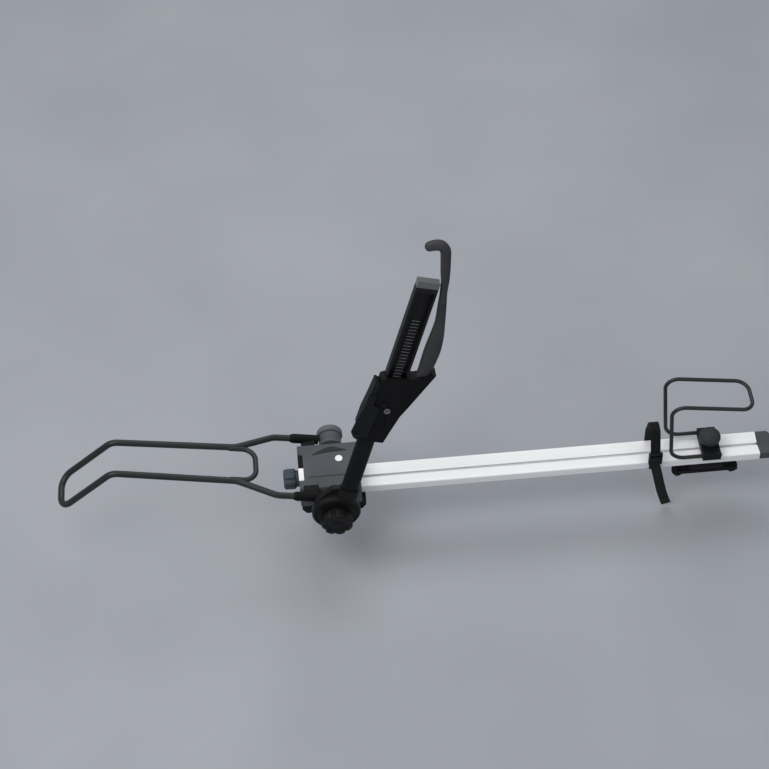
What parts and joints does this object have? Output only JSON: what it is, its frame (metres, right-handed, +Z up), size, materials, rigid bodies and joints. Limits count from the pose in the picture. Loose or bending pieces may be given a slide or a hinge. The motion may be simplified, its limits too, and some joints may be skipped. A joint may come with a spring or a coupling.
{
  "type": "roof mounted bike carrier",
  "caption": "Roof bike carrier with an aluminium tray, wheel hoops, wheel strap and an upright folding arm whose ratchet rack and hook clamp the bicycle frame.",
  "frame": {"origin": "middle of the saddle pad, on top of the front crossbar", "axes": "+X along the tray towards the rear wheel, +Z up, +Y across the car, away from the arm"},
  "size_m": [1.6575, 0.278, 0.9143],
  "materials": {
    "steel_black": "satin black powder coat",
    "rod_black": "semi-gloss black coating",
    "anodised": "satin clear anodised extrusion",
    "zinc": "bright zinc plated",
    "plastic_black": "fine grain black plastic",
    "plastic_dark": "fine grain dark grey plastic",
    "plastic_grey": "fine grain grey plastic",
    "plastic_blue_grey": "smooth blue grey plastic",
    "plastic_pale": "smooth pale plastic",
    "rubber_black": "matt rubber",
    "rubber_grey": "matt light grey rubber",
    "webbing": "woven black webbing"
  },
  "bodies": {
    "carrier": {"base_saddle": "steel_black", "saddle_pad": "rubber_black", "fixed_claw": "steel_black", "clamp_nut": "zinc", "head_cover": "plastic_grey", "cover_chevron": "plastic_dark", "cover_plug": "plastic_pale", "pivot_axle": "zinc", "axle_bushes": "plastic_pale", "axle_cap": "plastic_grey", "front_hoop": "rod_black", "hoop_cross_rod": "rod_black", "hoop_sockets": "plastic_black", "tray_rail": "anodised", "tray_end_cap": "plastic_dark", "tray_screws": "zinc", "rear_clamp_plate": "steel_black", "rear_clamp_pads": "rubber_black", "rear_clamp_bar": "steel_black", "rear_clamp_bolts": "zinc"},
    "front_claw": {"sliding_claw": "steel_black"},
    "front_knob": {"clamp_screw": "zinc", "knob_collar": "plastic_pale", "clamp_knob": "plastic_blue_grey"},
    "arm": {"arm_hub": "plastic_black", "arm_tube": "rod_black", "casing_near": "plastic_black", "casing_far": "plastic_black", "casing_screws": "zinc", "lever_pin": "zinc", "pawl_pin": "zinc", "pawl_spring": "zinc", "pawl_screws": "zinc", "rack_guide": "plastic_dark", "hook": "rubber_black", "hook_bolt": "zinc"},
    "arm_knob": {"torque_knob": "plastic_black"},
    "rack": {"rack_bar": "plastic_black", "frame_pad": "rubber_grey"},
    "release_lever": {"lever": "plastic_dark"},
    "lock": {"lock_barrel": "zinc"},
    "ratchet": {"pawl": "zinc"},
    "rear_loop": {"rear_hoop": "rod_black", "hoop_bracket": "plastic_dark", "hoop_bolt": "zinc"},
    "rear_loop_knob": {"hoop_knob": "plastic_grey"},
    "strap": {"wheel_strap": "webbing", "strap_tail": "webbing", "strap_buckle": "plastic_dark"},
    "strap_cam": {"buckle_cam": "plastic_dark"},
    "clamp_nut_1": {"rear_clamp_knob_1": "plastic_black"},
    "clamp_nut_2": {"rear_clamp_knob_2": "plastic_black"}
  },
  "joints": [
    {"name": "front_claw_slide", "type": "slide", "parent": "carrier", "child": "front_claw", "axis": [1, 0, 0], "range_m": [-0.018, 0]},
    {"name": "front_knob_turn", "type": "hinge", "parent": "front_claw", "child": "front_knob", "pos_m": [-0.1, 0, 0.035], "axis": [1, 0, 0], "range_deg": [-3250, 0]},
    {"name": "arm_fold", "type": "hinge", "parent": "carrier", "child": "arm", "pos_m": [0.002, -0.112, 0.057], "axis": [0, 1, 0], "range_deg": [-20, 60]},
    {"name": "arm_knob_turn", "type": "hinge", "parent": "carrier", "child": "arm_knob", "pos_m": [0.002, -0.142, 0.057], "axis": [0, 1, 0], "continuous": true},
    {"name": "rack_slide", "type": "slide", "parent": "arm", "child": "rack", "axis": [0.2899, 0.1305, 0.9481], "range_m": [-0.0774, 0]},
    {"name": "lever_open", "type": "hinge", "parent": "arm", "child": "release_lever", "pos_m": [0.05622, -0.107, 0.30447], "axis": [0.0382, -0.9914, 0.1248], "range_deg": [0, 35]},
    {"name": "lock_turn", "type": "hinge", "parent": "release_lever", "child": "lock", "pos_m": [0.09632, -0.08432, 0.40827], "axis": [0.0382, -0.9914, 0.1248], "range_deg": [0, 90]},
    {"name": "pawl_swing", "type": "hinge", "parent": "arm", "child": "ratchet", "pos_m": [0.142, -0.0791, 0.41573], "axis": [0.9563, 0, -0.2924], "range_deg": [0, 6]},
    {"name": "rear_loop_slide", "type": "slide", "parent": "carrier", "child": "rear_loop", "axis": [1, 0, 0], "range_m": [-0.004, 0.085]},
    {"name": "rear_loop_knob_turn", "type": "hinge", "parent": "rear_loop", "child": "rear_loop_knob", "pos_m": [0.877, 0, 0.06], "axis": [0, 0, 1], "continuous": true},
    {"name": "strap_slide", "type": "slide", "parent": "carrier", "child": "strap", "axis": [1, 0, 0], "range_m": [-0.25, 0.003]},
    {"name": "strap_cam_open", "type": "hinge", "parent": "strap", "child": "strap_cam", "pos_m": [0.744, -0.0421, 0.058], "axis": [-1, 0, 0], "range_deg": [0, 90]},
    {"name": "clamp_nut_1_turn", "type": "hinge", "parent": "carrier", "child": "clamp_nut_1", "pos_m": [0.811, 0, -0.05], "axis": [0, 0, 1], "continuous": true},
    {"name": "clamp_nut_2_turn", "type": "hinge", "parent": "carrier", "child": "clamp_nut_2", "pos_m": [0.939, 0, -0.05], "axis": [0, 0, 1], "continuous": true}
  ],
  "couplings": [
    {"joint": "front_knob_turn", "follows": "front_claw_slide", "rad_per_m": 3141.6}
  ]
}
